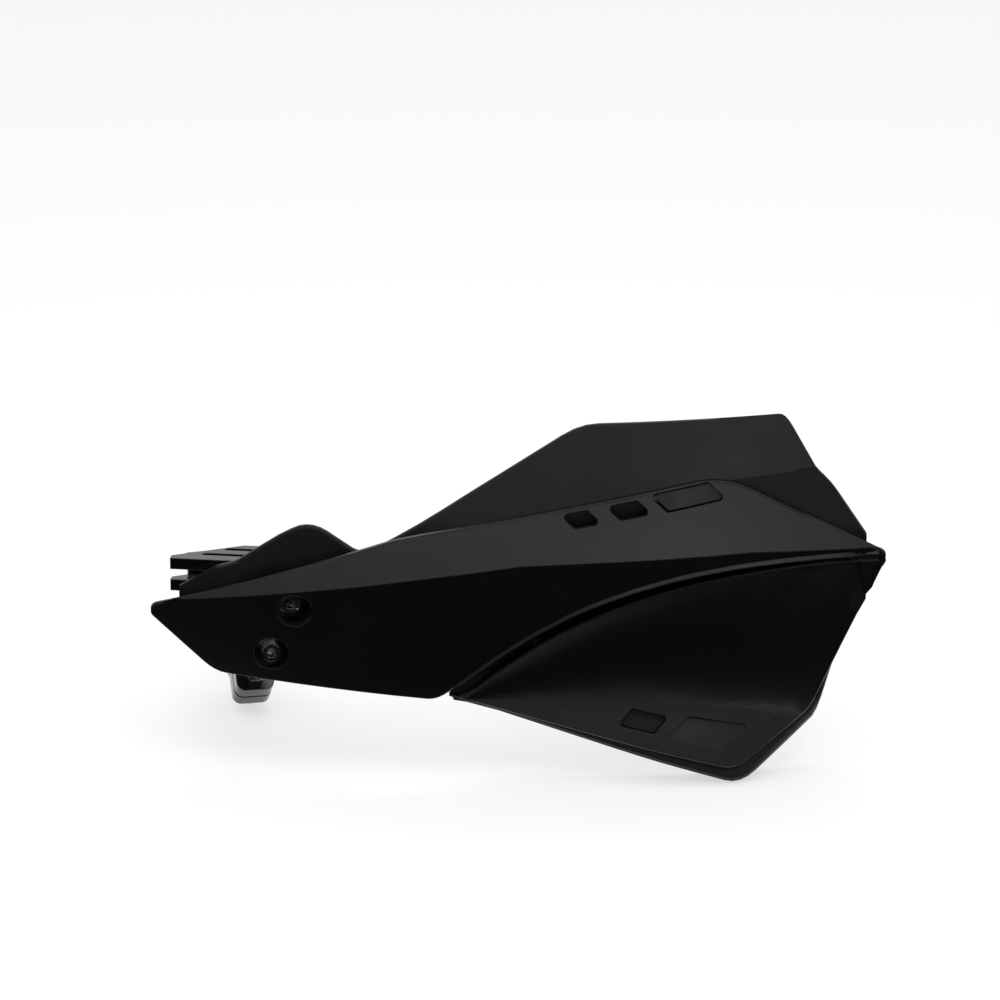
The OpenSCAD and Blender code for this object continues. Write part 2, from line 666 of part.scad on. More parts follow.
function rear_ring(x) = let (
        zt = rear_top(x),
        zb = rear_low(x),
        h = zt - zb,
        re = min(edge_r, 0.15 * h),
        rb = min(lip_r * ease(rear_root_x - hide, rear_root_x + 14, x) + 0.5, 0.2 * h),
        wz = min(wall * sqrt(1 + pow(rear_low(x + 0.5) - rear_low(x - 0.5), 2)), 0.4 * h),
        a1 = hold(fold_z(x), zb + 0.7 * h, zt - re - 0.1 * h),
        a2 = hold(crease_z(x), zb + 0.5 * h, a1 - 0.05 * h),
        a3 = hold(strip_top(x) + 3, zb + 0.25 * h, a2 - 0.05 * h),
        rows = concat(span(zt - re, a1, 2), span(a1, a2, 1), span(a2, a3, 2), span(a3, zb + rb, 2), [zb + rb]),
        y0 = rear_y(x, zb + rb),
        back = max(y0 + mix(wall + 0.6, lip_depth, ease(rear_root_x - 2, rear_root_x + 24, x)
            * (1 - 0.6 * ease(rear_heel_x, rear_out_x, x))), rear_y(x, zb + wz) + wall * 1.12 + 0.3),
        lift = (h - wz) / (h - re - rb))
    concat(
        [[x, rear_y(x, zt) + re, zt]],
        [for (z = rows) [x, rear_y(x, z), z]],
        [for (a = [30, 60, 90]) [x, y0 + rb * (1 - cos(a)), zb + rb - rb * sin(a)]],
        [[x, back, zb], [x, back, zb + wz]],
        [for (i = [len(rows) - 1:-1:0])
            let (z = zb + wz + (rows[i] - zb - rb) * lift)
            [x, rear_y(x, z) + wall * 1.12, z]]);

module rear_shell() {
    color(plastic) placed()
        difference() {
            union() {
                loft([for (x = rear_xs) rear_ring(x)]);
                for (side = [-1, 1])
                    at_bolt(side)
                        rod_y(0, 0, pad_y, 0, well_d + 2 * well_wall);
                for (p = shell_posts)
                    rod_y(p[0], p[1], rear_y(p[0], p[1]) + 0.2, pad_back(p), pad_d);
                for (p = strip_posts)
                    rod_y(p[0], p[1], strip_pad_y(p), strip_back_y(p), strip_pad_d);
            }
            for (side = [-1, 1])
                at_bolt(side) {
                    rod_y(0, 0, pad_y - 8, 8, cover_bolt_d + bolt_clear);
                    rod_y(0, 0, -well_reach, pad_y, well_d + 2 * well_wall + 2 * post_fit);
                }
            for (p = shell_posts) {
                rod_y(p[0], p[1], 0, 60, screw_d + bolt_clear);
                rod_y(p[0], p[1], 0, seat_y(p), post_d + 2 * bolt_clear);
                rod_y(p[0], p[1], pad_back(p), pad_back(p) + 6, pad_d - 2);
            }
            for (p = strip_posts) {
                rod_y(p[0], p[1], 0, 60, post_d + 2 * bolt_clear);
                rod_y(p[0], p[1], strip_back_y(p), strip_back_y(p) + 8, strip_pad_d + 0.6);
            }
        }
}

// Pan-head screw driven towards the front, head's seat at y
module screw(x, z, y, length) {
    color(zinc) placed()
        difference() {
            union() {
                rod_y(x, z, y - length, y, screw_d - 0.1);
                rod_y(x, z, y, y + screw_head_h, screw_head_d);
            }
            translate([x, y + screw_head_h - 1.2, z])
                for (turn = [0, 90])
                    rotate([0, turn, 0])
                        translate([-1.8, 0, -0.45])
                            cube([3.6, 2, 0.9]);
        }
}
module washer(d_out, d_in, t) {
    difference() {
        cylinder(d = d_out, h = t);
        translate([0, 0, -1])
            cylinder(d = d_in, h = t + 2);
    }
}
strip_washer_t = 1;
module strip_washer(p) {
    color(zinc) placed()
        translate([p[0], strip_back_y(p), p[1]])
            rotate([-90, 0, 0])
                washer(strip_pad_d - 0.6, screw_d + 0.3, strip_washer_t);
}
module shell_screw(p) {
    screw(p[0], p[1], pad_back(p), screw_l);
}
module strip_screw(p) {
    screw(p[0], p[1], strip_back_y(p) + strip_washer_t, 6.5);
}

// Cover bolts: socket heads at the bottom of the wells
head_ratio = 1.7;
head_d = cover_bolt_d * head_ratio;
washer_t = 1;
cover_bolt_l = 24;
module socket_bolt(d, length) {
    difference() {
        union() {
            cylinder(d = d, h = length);
            translate([0, 0, -d])
                cylinder(d = d * head_ratio, h = d);
        }
        translate([0, 0, -d - 1])
            cylinder(d = d * 0.92, h = d * 0.5 + 1, $fn = 6);
    }
}
module cover_bolt(side) {
    color(steel) placed()
        at_bolt(side)
            translate([0, -pinch - washer_t, 0])
                rotate([-90, 0, 0])
                    socket_bolt(cover_bolt_d, cover_bolt_l);
}
module cover_washer(side) {
    color(steel) placed()
        at_bolt(side)
            translate([0, -pinch - washer_t, 0])
                rotate([-90, 0, 0])
                    washer(cover_bolt_d * 2.2, cover_bolt_d + bolt_clear, washer_t);
}
insert_l = 10;
insert_wall = 1.6;
module threaded_insert(side) {
    color(brass) placed()
        at_bolt(side)
            rotate([-90, 0, 0])
                washer(cover_bolt_d + 2 * insert_wall, cover_bolt_d + 0.1, insert_l);
}

// Bar clamp: p runs along the ears, q towards the arm
bore_r = bar_d / 2 + sleeve_t;
ring_r = bore_r + ring_t;
clamp_bolt_p = bore_r + clamp_bolt_d / 2 + 5.8;
ear_end = clamp_bolt_p + 7.5;
module at_bar() {
    at_bracket()
        translate([clamp_x, bar_back, -bar_drop])
            rotate([270 - split_lean, 0, 0])
                children();
}
// After at_bar, Y runs along the lower ears and -Z towards the front and the arm
module half_space(side, width) {
    translate([-width / 2, -60, side > 0 ? clamp_gap / 2 : -60])
        cube([width, 120, 60 - clamp_gap / 2]);
}
module ear_block(side) {
    r = 4;
    z0 = side > 0 ? clamp_gap / 2 : -clamp_gap / 2 - ear_t;
    translate([0, 0, z0])
        linear_extrude(ear_t)
            polygon(rounded([[-clamp_w / 2, -ear_end], [clamp_w / 2, -ear_end],
                [clamp_w / 2, ear_end], [-clamp_w / 2, ear_end]], r, 5));
}
module bar_rod(r, width) {
    rotate([0, 90, 0])
        cylinder(r = r, h = width, center = true);
}
module clamp_half(side) {
    difference() {
        union() {
            intersection() {
                bar_rod(ring_r, clamp_w);
                half_space(side, clamp_w);
            }
            ear_block(side);
        }
        bar_rod(bore_r, clamp_w + 2);
        for (end = [-1, 1])
            translate([0, end * clamp_bolt_p, -40])
                cylinder(d = clamp_bolt_d + bolt_clear, h = 80);
    }
}
module clamp_cap() {
    color(plastic) placed()
        at_bar()
            clamp_half(1);
}
module bar_sleeve(side) {
    color(rubber) placed()
        at_bar()
            intersection() {
                difference() {
                    bar_rod(bore_r, clamp_w);
                    bar_rod(bar_d / 2, clamp_w + 2);
                }
                half_space(side, clamp_w);
            }
}
module clamp_bolt(end) {
    color(steel) placed()
        at_bar()
            translate([0, end * clamp_bolt_p, clamp_gap / 2 + ear_t + washer_t])
                rotate([180, 0, 0])
                    socket_bolt(clamp_bolt_d, 2 * ear_t + clamp_gap + washer_t + 8);
}
module clamp_washer(end) {
    color(steel) placed()
        at_bar()
            translate([0, end * clamp_bolt_p, clamp_gap / 2 + ear_t])
                washer(clamp_bolt_d * 1.83, clamp_bolt_d + bolt_clear, washer_t);
}
module clamp_nut(end) {
    color(steel) placed()
        at_bar()
            translate([0, end * clamp_bolt_p, -clamp_gap / 2 - ear_t - clamp_bolt_d * 0.85])
                difference() {
                    cylinder(d = clamp_bolt_d * 1.9, h = clamp_bolt_d * 0.85, $fn = 6);
                    translate([0, 0, -1])
                        cylinder(d = clamp_bolt_d + 0.1, h = clamp_bolt_d + 2);
                }
}

// Bracket: face plate, grooved wing, ribbed arm and the front half of the clamp
wing_turn = -8;
wing_low = 76.2;
wing_front = 5;
flange_t = 5.2;
neck_in = 4.5;
wing_in_end = -wing_l;
wing_out_end = 12;
module wing_plate(inset, z0, z1) {
    translate([0, 0, z0])
        linear_extrude(z1 - z0)
            polygon([[wing_in_end + inset * 1.6, wing_front + inset],
                [wing_out_end, wing_front + inset],
                [wing_out_end, wing_front + wing_d],
                [wing_in_end + wing_d * 1.35 + inset, wing_front + wing_d],
                [wing_in_end + inset * 1.3, wing_front + 4 + inset]]);
}
module wing() {
    translate([mount_x, mount_y, 0])
        rotate([0, 0, wing_turn])
            difference() {
                union() {
                    wing_plate(0, wing_low, wing_low + flange_t);
                    wing_plate(neck_in, wing_low, wing_low + wing_h);
                    wing_plate(0, wing_low + wing_h - flange_t, wing_low + wing_h);
                }
                for (k = [0, 1])
                    translate([wing_in_end + 11 + 9 * k, wing_front + 6 + 8 * k, wing_low + flange_t])
                        linear_extrude(wing_h)
                            polygon(rounded([[0, 0], [42 - 9 * k, 0], [42 - 9 * k, rib_gap], [4, rib_gap]], 1, 3));
            }
}
plate_t = 8;
plate_low = -bolt_half_z - 10;
plate_high = wing_low + wing_h - mount_z - 1;
boss_l = insert_l + 3;
module face_plate() {
    translate([0, plate_t, 0])
        rotate([90, 0, 0])
            linear_extrude(plate_t)
                polygon(rounded([[-plate_half - 1, plate_low], [plate_half - 3, plate_low],
                    [plate_half, plate_high], [-plate_half - 1, plate_high]], 4, 5));
    for (side = [-1, 1])
        rod_y(side * bolt_half_x, side * bolt_half_z, 0, boss_l, cover_bolt_d + 2 * insert_wall + 5);
}
// Side view of the arm: upper and lower lines from the face plate to the clamp ring
arm_top_front = [plate_t - 1, plate_high];
arm_low_front = [plate_t - 1, plate_low + 3];
bar_at = [bar_back, -bar_drop];
function toward(angle) = [cos(angle), sin(angle)];
arm_top_back = bar_at + (ring_r - 1.7) * toward(83);
arm_low_back = bar_at + ring_r * toward(174);
function arm_point(t, v) = mix(mix(arm_low_front, arm_low_back, t), mix(arm_top_front, arm_top_back, t), v);
arm_cells = 4;
arm_rim = 4;
arm_inset = 0.6;
arm_rib = 3;
function arm_cell(k) = let (
        t0 = mix(0.1, 0.66, k / arm_cells),
        t1 = mix(0.1, 0.66, (k + 1) / arm_cells),
        rib = arm_rib / 2 / norm(arm_low_back - arm_low_front),
        tall0 = norm(arm_point(t0, 1) - arm_point(t0, 0)),
        tall1 = norm(arm_point(t1, 1) - arm_point(t1, 0)))
    [arm_point(t0 + rib, arm_rim / tall0), arm_point(t1 - rib, arm_rim / tall1),
        arm_point(t1 - rib, 1 - arm_rim / tall1), arm_point(t0 + rib, 1 - arm_rim / tall0)];
module side_extrude(pts, x0, x1) {
    translate([x0, 0, 0])
        rotate([90, 0, 90])
            linear_extrude(x1 - x0)
                polygon(pts);
}
module arm_body() {
    x0 = clamp_x - clamp_w / 2 + arm_inset;
    x1 = clamp_x + clamp_w / 2 - arm_inset;
    depth = (x1 - x0 - web_t) / 2;
    difference() {
        side_extrude([arm_low_front, arm_low_back, arm_top_back, arm_top_front], x0, x1);
        for (k = [0:arm_cells - 1]) {
            side_extrude(rounded(arm_cell(k), 2, 3), x0 - 1, x0 + depth);
            side_extrude(rounded(arm_cell(k), 2, 3), x1 - depth, x1 + 1);
        }
    }
}
// Room that the clamp's own halves, bolts and nuts need, cut out of the arm
module clamp_room() {
    at_bar() {
        bar_rod(bore_r, clamp_w + 2);
        translate([-clamp_w / 2 - 1, -60, -clamp_gap / 2])
            cube([clamp_w + 2, 120, 60]);
        for (end = [-1, 1])
            translate([0, end * clamp_bolt_p, -clamp_gap / 2 - ear_t - clamp_bolt_d - 1])
                cylinder(d = clamp_bolt_d * 2.2, h = clamp_bolt_d + 1);
    }
}
module bracket_arm() {
    color(plastic) placed()
        difference() {
            union() {
                wing();
                at_bracket()
                    face_plate();
                difference() {
                    at_bracket()
                        arm_body();
                    clamp_room();
                }
                at_bar()
                    clamp_half(-1);
            }
            for (side = [-1, 1])
                at_bolt(side) {
                    rod_y(0, 0, -1, insert_l, cover_bolt_d + 2 * insert_wall);
                    rod_y(0, 0, -1, boss_l + 20, cover_bolt_d + bolt_clear);
                }
        }
}

front_cover();
rear_shell();
badge_pad();
bracket_arm();
clamp_cap();
bar_sleeve(-1);  // bar_sleeve_front
bar_sleeve(1);  // bar_sleeve_rear
cover_bolt(1);  // cover_bolt_upper
cover_bolt(-1);  // cover_bolt_lower
cover_washer(1);  // cover_washer_upper
cover_washer(-1);  // cover_washer_lower
threaded_insert(1);  // threaded_insert_upper
threaded_insert(-1);  // threaded_insert_lower
clamp_bolt(-1);  // clamp_bolt_upper
clamp_bolt(1);  // clamp_bolt_lower
clamp_washer(-1);  // clamp_washer_upper
clamp_washer(1);  // clamp_washer_lower
clamp_nut(-1);  // clamp_nut_upper
clamp_nut(1);  // clamp_nut_lower
shell_screw(shell_posts[0]);  // shell_screw_inner
shell_screw(shell_posts[1]);  // shell_screw_middle
shell_screw(shell_posts[2]);  // shell_screw_centre
shell_screw(shell_posts[3]);  // shell_screw_outer
strip_screw(strip_posts[0]);  // strip_screw_inner
strip_screw(strip_posts[1]);  // strip_screw_outer
strip_washer(strip_posts[0]);  // strip_washer_inner
strip_washer(strip_posts[1]);  // strip_washer_outer
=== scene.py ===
"""Motorcycle hand guard: finishes, small details, stage and camera."""

import json
import math

import bmesh
import bpy
import numpy as np
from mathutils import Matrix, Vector, kdtree
from mathutils.bvhtree import BVHTree


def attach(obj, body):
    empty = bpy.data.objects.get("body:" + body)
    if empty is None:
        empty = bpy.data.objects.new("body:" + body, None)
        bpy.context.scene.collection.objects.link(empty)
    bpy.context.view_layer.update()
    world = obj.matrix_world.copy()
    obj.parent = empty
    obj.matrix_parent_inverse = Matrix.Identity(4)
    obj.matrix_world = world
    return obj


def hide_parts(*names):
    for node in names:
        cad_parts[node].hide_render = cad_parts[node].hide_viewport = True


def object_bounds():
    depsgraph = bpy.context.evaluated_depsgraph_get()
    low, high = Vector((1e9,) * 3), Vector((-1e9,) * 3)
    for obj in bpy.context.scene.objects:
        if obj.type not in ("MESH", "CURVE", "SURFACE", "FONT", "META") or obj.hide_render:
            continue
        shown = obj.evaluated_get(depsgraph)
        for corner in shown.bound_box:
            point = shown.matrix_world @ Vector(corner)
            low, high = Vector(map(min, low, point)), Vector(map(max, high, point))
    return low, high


bl_info = {
    "name": "Motorcycle Hand Guard",
    "version": (1, 0, 0),
    "blender": (4, 5, 0),
    "location": "View3D > Sidebar > Hand Guard",
    "description": "Finishes the hand guard's mouldings and hardware and sets up its studio stage",
    "category": "Add Mesh",
}

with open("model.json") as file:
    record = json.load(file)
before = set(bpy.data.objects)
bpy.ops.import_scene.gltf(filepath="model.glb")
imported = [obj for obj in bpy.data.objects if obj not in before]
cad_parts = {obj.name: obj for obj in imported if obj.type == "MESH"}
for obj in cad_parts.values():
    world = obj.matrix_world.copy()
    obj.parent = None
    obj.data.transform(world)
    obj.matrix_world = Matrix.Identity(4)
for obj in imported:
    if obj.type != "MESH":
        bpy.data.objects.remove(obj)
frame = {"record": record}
CAD_BOX = [list(corner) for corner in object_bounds()]
MM = 0.001
# Y from which the mouldings are probed, in millimetres, well before their fronts
PROBE_FROM = -400.0


# ---------------------------------------------------------------- helpers

def linear(code):
    """Linear RGBA of an sRGB hex colour such as "#1b1b1d"."""
    parts = [int(code[i:i + 2], 16) / 255 for i in (1, 3, 5)]
    return [c / 12.92 if c <= 0.04045 else ((c + 0.055) / 1.055) ** 2.4 for c in parts] + [1.0]


def add_node(tree, kind, settings=None, inputs=None):
    """Adds a node, sets its settings, and fills or links its inputs."""
    node = tree.nodes.new(kind)
    for key, value in (settings or {}).items():
        setattr(node, key, value)
    for key, value in (inputs or {}).items():
        if isinstance(value, bpy.types.NodeSocket):
            tree.links.new(value, node.inputs[key])
        else:
            node.inputs[key].default_value = value
    return node


def new_material(name):
    """An empty node material, with its tree."""
    material = bpy.data.materials.new(name)
    material.use_nodes = True
    material.node_tree.nodes.clear()
    return material, material.node_tree


def pick(*objects):
    """Selects only these objects, the last one active."""
    bpy.ops.object.select_all(action="DESELECT")
    for thing in objects:
        thing.select_set(True)
        bpy.context.view_layer.objects.active = thing


def finish_piece(piece, material):
    """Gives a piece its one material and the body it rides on."""
    piece.data.materials.clear()
    piece.data.materials.append(material)
    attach(piece, "root")


def front_probe(mesh):
    """A function of X and Z that gives the Y of the mesh's first face from the front, or None."""
    tree = BVHTree.FromPolygons([v.co for v in mesh.vertices], [f.vertices for f in mesh.polygons])

    def front(x, z):
        place = tree.ray_cast(Vector((x, PROBE_FROM, z)) * MM, Vector((0, 1, 0)))[0]
        return None if place is None else place.y / MM

    return front


def tube(name, points, radius, sides, material, closed=False):
    """A round tube along points in millimetres: a ring, or smooth with closed ends."""
    curve = bpy.data.curves.new(name, "CURVE")
    curve.dimensions = "3D"
    curve.bevel_depth = radius * MM
    curve.bevel_resolution = sides
    curve.use_fill_caps = not closed
    path = curve.splines.new("POLY" if closed else "NURBS")
    path.points.add(len(points) - 1)
    for point, (x, y, z) in zip(path.points, points):
        point.co = (x * MM, y * MM, z * MM, 1)
    path.use_cyclic_u = closed
    if not closed:
        path.order_u = 3
        path.use_endpoint_u = True
    line = bpy.data.objects.new(name, curve)
    bpy.context.scene.collection.objects.link(line)
    pick(line)
    bpy.ops.object.convert(target="MESH")
    bpy.ops.object.shade_smooth()
    finish_piece(bpy.context.object, material)


def cut_grid(mesh, step):
    """Cuts a mesh along level and upright planes, so that no face is much longer than the step."""
    shape = bmesh.new()
    shape.from_mesh(mesh)
    for axis in range(3):
        reach = [v.co[axis] for v in shape.verts]
        for i in range(1, int((max(reach) - min(reach)) / (step * MM)) + 1):
            across = Vector((0, 0, 0))
            across[axis] = 1.0
            bmesh.ops.bisect_plane(
                shape, geom=shape.verts[:] + shape.edges[:] + shape.faces[:], dist=0.001 * MM,
                plane_co=across * (min(reach) + (i - 0.37) * step * MM), plane_no=across)
    shape.to_mesh(mesh)
    shape.free()


def facing_front(shape, low, high):
    """Front-facing faces whose middles lie between two X, in millimetres, and what bounds them."""
    shape.normal_update()
    faces = [f for f in shape.faces
             if f.normal.y < -0.3 and low < f.calc_center_median().x / MM < high]
    edges = list(dict.fromkeys(e for f in faces for e in f.edges))
    return faces, faces + edges + list(dict.fromkeys(v for e in edges for v in e.verts))


def cut_folds(mesh, folds):
    """Cuts a mesh along its fold lines, seen from the front, and marks the cuts as sharp."""
    shape = bmesh.new()
    shape.from_mesh(mesh)
    for fold in folds:
        for (x0, z0), (x1, z1) in zip(fold["line"], fold["line"][1:]):
            cut = bmesh.ops.bisect_plane(
                shape, geom=facing_front(shape, x0 - 2, x1 + 2)[1], dist=0.001 * MM,
                plane_co=(x0 * MM, 0, z0 * MM), plane_no=(z0 - z1, 0, x1 - x0))
            for part in cut["geom_cut"]:
                if isinstance(part, bmesh.types.BMEdge):
                    part.smooth = False
    shape.to_mesh(mesh)
    shape.free()


def fold_normal(fold, x, z, above):
    """How the surface near a fold faces at an X and Z, and how strongly the fold says so."""
    line_x, line_z = zip(*fold["line"])
    past_end = 3
    if not line_x[0] - past_end <= x <= line_x[-1] + past_end:
        return None, 0.0
    turn, rise, reach = fold["above"] if above else fold["below"]
    turn = math.radians(np.interp(x, fold["stations"], turn))
    rise = math.radians(np.interp(x, fold["stations"], rise))
    away = abs(z - np.interp(x, line_x, line_z))
    facing = np.array((math.sin(turn) * math.cos(rise), -math.cos(turn) * math.cos(rise),
                       math.sin(rise)))
    return facing, min(max((reach - away) / (0.35 * reach), 0.0), 1.0)


def ease_normals(mesh, reach, limit, folds=(), flat=None):
    """Turns each corner to the mean of the faces near it that lie almost level with its own.

    Near a fold, the corners face as the fold's flat sides do, so that it is drawn as one line.
    In a flat zone they face as it says, which fades out over a length before its far X.
    """
    count = len(mesh.polygons)
    facing = np.empty(count * 3)
    centres = np.empty(count * 3)
    areas = np.empty(count)
    mesh.polygons.foreach_get("normal", facing)
    mesh.polygons.foreach_get("center", centres)
    mesh.polygons.foreach_get("area", areas)
    facing = facing.reshape(-1, 3)
    tree = kdtree.KDTree(count)
    for i, centre in enumerate(centres.reshape(-1, 3)):
        tree.insert(centre, i)
    tree.balance()
    near = [np.array([hit[1] for hit in tree.find_range(v.co, reach * MM)], dtype=int)
            for v in mesh.vertices]
    level = math.cos(math.radians(limit))
    corners = np.empty((len(mesh.loops), 3))
    for face in mesh.polygons:
        own = facing[face.index]
        for corner in face.loop_indices:
            around = near[mesh.loops[corner].vertex_index]
            alike = np.clip((facing[around] @ own - level) / (1 - level), 0, 1)
            total = (areas[around] * alike) @ facing[around] + own * areas[face.index] * 0.05
            total /= np.linalg.norm(total)
            x, _, z = mesh.vertices[mesh.loops[corner].vertex_index].co / MM
            middle = face.center / MM
            for fold in folds:
                line_z = np.interp(middle.x, *zip(*fold["line"]))
                side, share = fold_normal(fold, x, z, middle.z > line_z)
                if share and own @ side > 0.5:
                    total = total * (1 - share) + side * share
                    total /= np.linalg.norm(total)
            if flat and own[1] < flat["front"] and all(
                    low < value < high for value, (low, high) in zip(middle, flat["within"])):
                share = min((flat["within"][0][1] - x) / flat["fade"], 1.0)
                total = total * (1 - share) + np.array(flat["facing"]) * share
            corners[corner] = total
    mesh.normals_split_custom_set(corners)


def level_tip(mesh):
    """Brings the cover's outer tip level with the lower panel and runs the air slot out into it."""
    # where the levelling starts and the groove ends, the groove's lower and upper edge, its depth
    inner, outer, low, high, deep = 272.2, 281.6, 72.4, 74.3, 2.4
    wall = 0.15
    front = front_probe(mesh)
    shape = bmesh.new()
    shape.from_mesh(mesh)
    for where, across in (((inner, 0, 0), (1, 0, 0)), ((outer, 0, 0), (1, 0, 0)),
                          ((0, 0, high), (0, 0, 1)), ((0, 0, high - wall), (0, 0, 1)),
                          ((0, 0, low + wall), (0, 0, 1)), ((0, 0, low), (0, 0, 1))):
        bmesh.ops.bisect_plane(shape, geom=facing_front(shape, inner - 6, 300)[1],
                               dist=0.001 * MM, plane_co=Vector(where) * MM, plane_no=across)
    for v in dict.fromkeys(v for f in facing_front(shape, inner, 300)[0] for v in f.verts):
        x, _, z = v.co / MM
        if x < inner - 0.01 or not 46 < z < high + 0.01:
            continue
        edge = inner
        while front(edge + 0.5, z) is not None:
            edge += 0.5
        inside, outside = front(inner - 0.3, min(z, 71.8)), front(edge - 0.2, z)
        share = min((x - inner) / max(edge - inner, 1.0), 1.0)
        if inside is not None and outside is not None:
            v.co.y = ((1 - share) * inside + share * outside) * MM
        if low + 0.1 < z < high - 0.1 and x < outer + 0.4:
            v.co.y += deep * (1 - 0.5 * share) * MM
    shape.to_mesh(mesh)
    shape.free()


def moulded_copy(node, name, material, smooth=30, grid=0.0, reach=3.0, folds=(),
                 shaping=None, flat=None):
    """A merged, smoothly shaded copy of a CAD node, which it replaces."""
    source = bpy.data.objects[node]
    piece = source.copy()
    piece.data = source.data.copy()
    piece.name = name
    piece.data.name = name
    bpy.context.scene.collection.objects.link(piece)
    pick(piece)
    bpy.ops.object.mode_set(mode="EDIT")
    bpy.ops.mesh.select_all(action="SELECT")
    bpy.ops.mesh.remove_doubles(threshold=0.002 * MM)
    bpy.ops.object.mode_set(mode="OBJECT")
    if grid:
        cut_grid(piece.data, grid)
        cut_folds(piece.data, folds)
    if shaping:
        shaping(piece.data)
    bpy.ops.object.shade_smooth_by_angle(angle=math.radians(smooth))
    if grid:
        ease_normals(piece.data, reach, smooth - 4, folds, flat)
    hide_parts(node)
    finish_piece(piece, material)
    return piece


# ---------------------------------------------------------------- materials

def moulded_nylon(name, colour, roughness, specular, peel, edge=0.5, grain=0.0, grain_mm=0.5,
                  mottle_mm=30, mottled=0.035):
    """Black glass-filled nylon from a steel tool: dark, satin, its edges rounded by the tool."""
    # the rounding gives each edge its thin line of light, and the peel unsettles the reflections
    material, tree = new_material(name)
    where = add_node(tree, "ShaderNodeTexCoord").outputs["Object"]
    # flow mottle, mottle_mm across, and orange peel, about 2 mm across
    mottle = add_node(tree, "ShaderNodeTexNoise", {"noise_dimensions": "3D"},
                      {"Vector": where, "Scale": 1 / (mottle_mm * MM), "Detail": 3.0})
    gloss = add_node(tree, "ShaderNodeMapRange", None,
                     {"Value": mottle.outputs["Fac"], "From Min": 0.3, "From Max": 0.7,
                      "To Min": roughness - mottled, "To Max": roughness + mottled})
    rounded = add_node(tree, "ShaderNodeBevel", {"samples": 6}, {"Radius": edge * MM})
    wave = add_node(tree, "ShaderNodeTexNoise", {"noise_dimensions": "3D"},
                    {"Vector": where, "Scale": 1 / (2.2 * MM), "Detail": 1.0})
    relief = add_node(tree, "ShaderNodeBump", None,
                      {"Strength": peel, "Distance": 0.02 * MM, "Height": wave.outputs["Fac"],
                       "Normal": rounded.outputs["Normal"]})
    if grain:
        # the tool's etched grain, drawn coarser than the real 0.2 mm so that it shows
        spark = add_node(tree, "ShaderNodeTexVoronoi", {"feature": "F1"},
                         {"Vector": where, "Scale": 1 / (grain_mm * MM)})
        relief = add_node(tree, "ShaderNodeBump", None,
                          {"Strength": grain, "Distance": 0.05 * MM,
                           "Height": spark.outputs["Distance"], "Normal": relief.outputs["Normal"]})
    shader = add_node(tree, "ShaderNodeBsdfPrincipled", None,
                      {"Base Color": linear(colour), "Roughness": gloss.outputs["Result"],
                       "Specular IOR Level": specular, "Normal": relief.outputs["Normal"]})
    add_node(tree, "ShaderNodeOutputMaterial", None, {"Surface": shader.outputs["BSDF"]})
    return material


def hardware_metal(name, colour, roughness, streak_mm=0.4):
    """Turned and plated steel or brass: fine lathe streaks under a thin finish."""
    # the streaks spread the highlights on heads and washers
    material, tree = new_material(name)
    where = add_node(tree, "ShaderNodeTexCoord").outputs["Object"]
    streak = add_node(tree, "ShaderNodeTexNoise", {"noise_dimensions": "3D"},
                      {"Vector": where, "Scale": 1 / (streak_mm * MM), "Detail": 2.0})
    gloss = add_node(tree, "ShaderNodeMapRange", None,
                     {"Value": streak.outputs["Fac"], "To Min": roughness - 0.05,
                      "To Max": roughness + 0.08})
    rounded = add_node(tree, "ShaderNodeBevel", {"samples": 6}, {"Radius": 0.35 * MM})
    relief = add_node(tree, "ShaderNodeBump", None,
                      {"Strength": 0.15, "Distance": 0.01 * MM, "Height": streak.outputs["Fac"],
                       "Normal": rounded.outputs["Normal"]})
    shader = add_node(tree, "ShaderNodeBsdfPrincipled", None,
                      {"Base Color": linear(colour), "Metallic": 1.0,
                       "Roughness": gloss.outputs["Result"], "Normal": relief.outputs["Normal"]})
    add_node(tree, "ShaderNodeOutputMaterial", None, {"Surface": shader.outputs["BSDF"]})
    return material


def soft_rubber(name, colour):
    """Moulded rubber: matt, with a fine grain that breaks up what little it reflects."""
    material, tree = new_material(name)
    where = add_node(tree, "ShaderNodeTexCoord").outputs["Object"]
    grain = add_node(tree, "ShaderNodeTexNoise", {"noise_dimensions": "3D"},
                     {"Vector": where, "Scale": 1 / (0.5 * MM), "Detail": 3.0})
    relief = add_node(tree, "ShaderNodeBump", None,
                      {"Strength": 0.3, "Distance": 0.03 * MM, "Height": grain.outputs["Fac"]})
    shader = add_node(tree, "ShaderNodeBsdfPrincipled", None,
                      {"Base Color": linear(colour), "Roughness": 0.8, "Specular IOR Level": 0.25,
                       "Normal": relief.outputs["Normal"]})
    add_node(tree, "ShaderNodeOutputMaterial", None, {"Surface": shader.outputs["BSDF"]})
    return material


# ---------------------------------------------------------------- settings

class HandGuardFinish(bpy.types.PropertyGroup):
    """Colours and finishes of the hand guard."""

    cover_colour: bpy.props.StringProperty(
        name="Cover colour", description="sRGB hex colour of the front cover", default="#080809")
    shell_colour: bpy.props.StringProperty(
        name="Shell colour", description="sRGB hex colour of the rear shell", default="#0a0a0b")
    cover_roughness: bpy.props.FloatProperty(
        name="Cover roughness", description="Roughness of the satin cover", default=0.3,
        min=0.05, max=0.9, subtype="FACTOR")
    shell_roughness: bpy.props.FloatProperty(
        name="Shell roughness", description="Roughness of the grained shell", default=0.42,
        min=0.05, max=0.9, subtype="FACTOR")
    specular: bpy.props.FloatProperty(
        name="Surface reflection", description="Strength of the plastic's surface reflection",
        default=0.16, min=0.0, max=1.0, subtype="FACTOR")
    edge_round: bpy.props.FloatProperty(
        name="Edge rounding", description="Rounding of the mouldings' edges, in millimetres",
        default=0.6, min=0.1, max=1.0)


